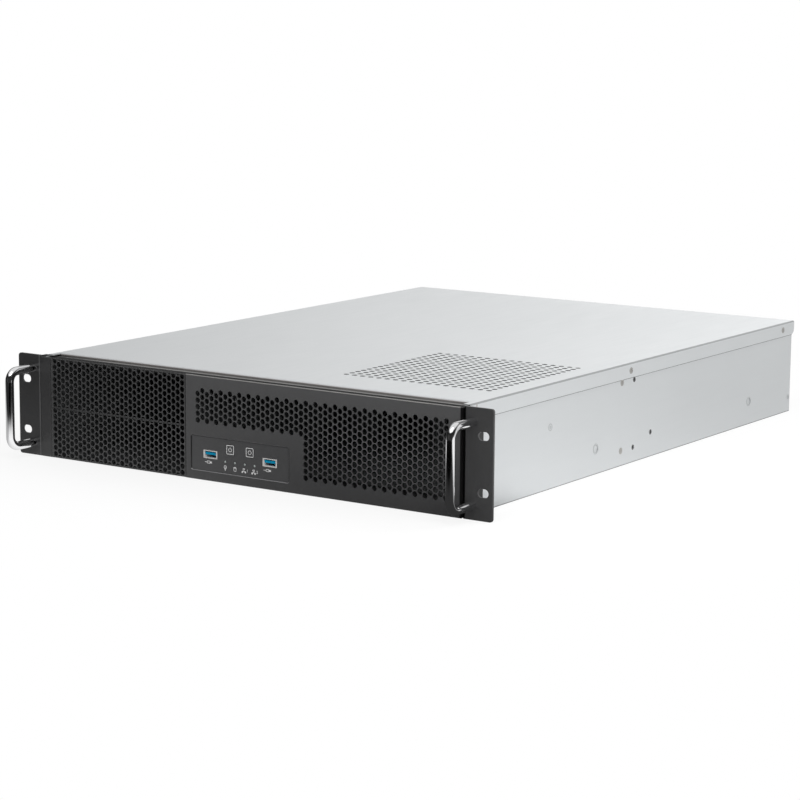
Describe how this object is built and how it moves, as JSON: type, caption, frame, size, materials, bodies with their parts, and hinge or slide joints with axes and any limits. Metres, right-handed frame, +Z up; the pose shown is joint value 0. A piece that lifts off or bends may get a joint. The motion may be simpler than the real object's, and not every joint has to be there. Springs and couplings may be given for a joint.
{
  "type": "empty rackmount server case",
  "caption": "Rack-mounted case for a server, two units high, with mesh front, drive bay covers, handles on its ears, vented top cover, fan wall and expansion slots at the rear",
  "frame": {"origin": "centre of the footprint, handles included, on the surface that the case stands on", "axes": "+X to the right seen from the front, +Y to the rear, +Z up; the front panel faces -Y"},
  "size_m": [0.4826, 0.6288, 0.0881],
  "materials": {
    "zinc_steel": "satin",
    "black_steel": "satin",
    "black_plastic": "matte",
    "button_plastic": "matte",
    "chrome": "polished",
    "screw_steel": "satin",
    "port_steel": "satin",
    "port_blue": "matte",
    "board_green": "matte",
    "light_clear": "gloss",
    "brass": "satin"
  },
  "bodies": {
    "chassis": {"base_pan": "zinc_steel", "rear_panel": "zinc_steel", "bay_cage": "zinc_steel", "psu_bracket": "zinc_steel", "fan_wall": "zinc_steel", "front_frame": "black_steel", "front_panel": "black_steel", "left_stile": "black_steel", "ear_left": "black_steel", "ear_right": "black_steel", "control_panel": "black_plastic", "power_switch": "black_plastic", "reset_switch": "black_plastic", "control_board": "board_green", "data_port_shell_left": "port_steel", "data_port_shell_right": "port_steel", "data_port_tongue_left": "port_blue", "data_port_tongue_right": "port_blue", "handle_left": "chrome", "handle_right": "chrome", "power_inlet": "black_plastic", "board_standoffs": "brass", "ear_screws": "screw_steel", "handle_screws": "screw_steel", "panel_screws": "screw_steel", "floor_screws": "screw_steel", "slot_screws": "screw_steel", "fan_screws": "screw_steel", "fan_wall_screws": "screw_steel", "control_board_screws": "screw_steel", "fan_frame_1": "black_plastic", "fan_frame_2": "black_plastic", "fan_frame_3": "black_plastic", "slot_cover_1": "zinc_steel", "slot_cover_2": "zinc_steel", "slot_cover_3": "zinc_steel", "slot_cover_4": "zinc_steel", "slot_cover_5": "zinc_steel", "slot_cover_6": "zinc_steel", "slot_cover_7": "zinc_steel", "status_light_1": "light_clear", "status_light_2": "light_clear", "status_light_3": "light_clear", "status_light_4": "light_clear"},
    "top_cover": {"top_cover": "zinc_steel", "cover_screws": "screw_steel"},
    "power_button": {"power_button": "button_plastic"},
    "reset_button": {"reset_button": "button_plastic"},
    "bay_cover_lower": {"bay_cover_lower": "black_steel"},
    "bay_cover_upper": {"bay_cover_upper": "black_steel"},
    "fan_rotor_1": {"fan_rotor_1": "black_plastic"},
    "fan_rotor_2": {"fan_rotor_2": "black_plastic"},
    "fan_rotor_3": {"fan_rotor_3": "black_plastic"}
  },
  "joints": [
    {"name": "power_button_press", "type": "slide", "parent": "chassis", "child": "power_button", "axis": [0, 1, 0], "range_m": [0, 0.0008], "stiffness_N_per_m": 700, "springref_m": -0.0008},
    {"name": "reset_button_press", "type": "slide", "parent": "chassis", "child": "reset_button", "axis": [0, 1, 0], "range_m": [0, 0.0008], "stiffness_N_per_m": 700, "springref_m": -0.0008},
    {"name": "bay_cover_lower_pull", "type": "slide", "parent": "chassis", "child": "bay_cover_lower", "axis": [0, -1, 0], "range_m": [0, 0.03]},
    {"name": "bay_cover_upper_pull", "type": "slide", "parent": "chassis", "child": "bay_cover_upper", "axis": [0, -1, 0], "range_m": [0, 0.03]},
    {"name": "top_cover_lift", "type": "slide", "parent": "chassis", "child": "top_cover", "axis": [0, 0, 1], "range_m": [0, 0.15]},
    {"name": "fan_rotor_1_spin", "type": "hinge", "parent": "chassis", "child": "fan_rotor_1", "pos_m": [-0.128, -0.01663, 0.0425], "axis": [0, 1, 0], "continuous": true},
    {"name": "fan_rotor_2_spin", "type": "hinge", "parent": "chassis", "child": "fan_rotor_2", "pos_m": [0, -0.01663, 0.0425], "axis": [0, 1, 0], "continuous": true},
    {"name": "fan_rotor_3_spin", "type": "hinge", "parent": "chassis", "child": "fan_rotor_3", "pos_m": [0.128, -0.01663, 0.0425], "axis": [0, 1, 0], "continuous": true}
  ]
}
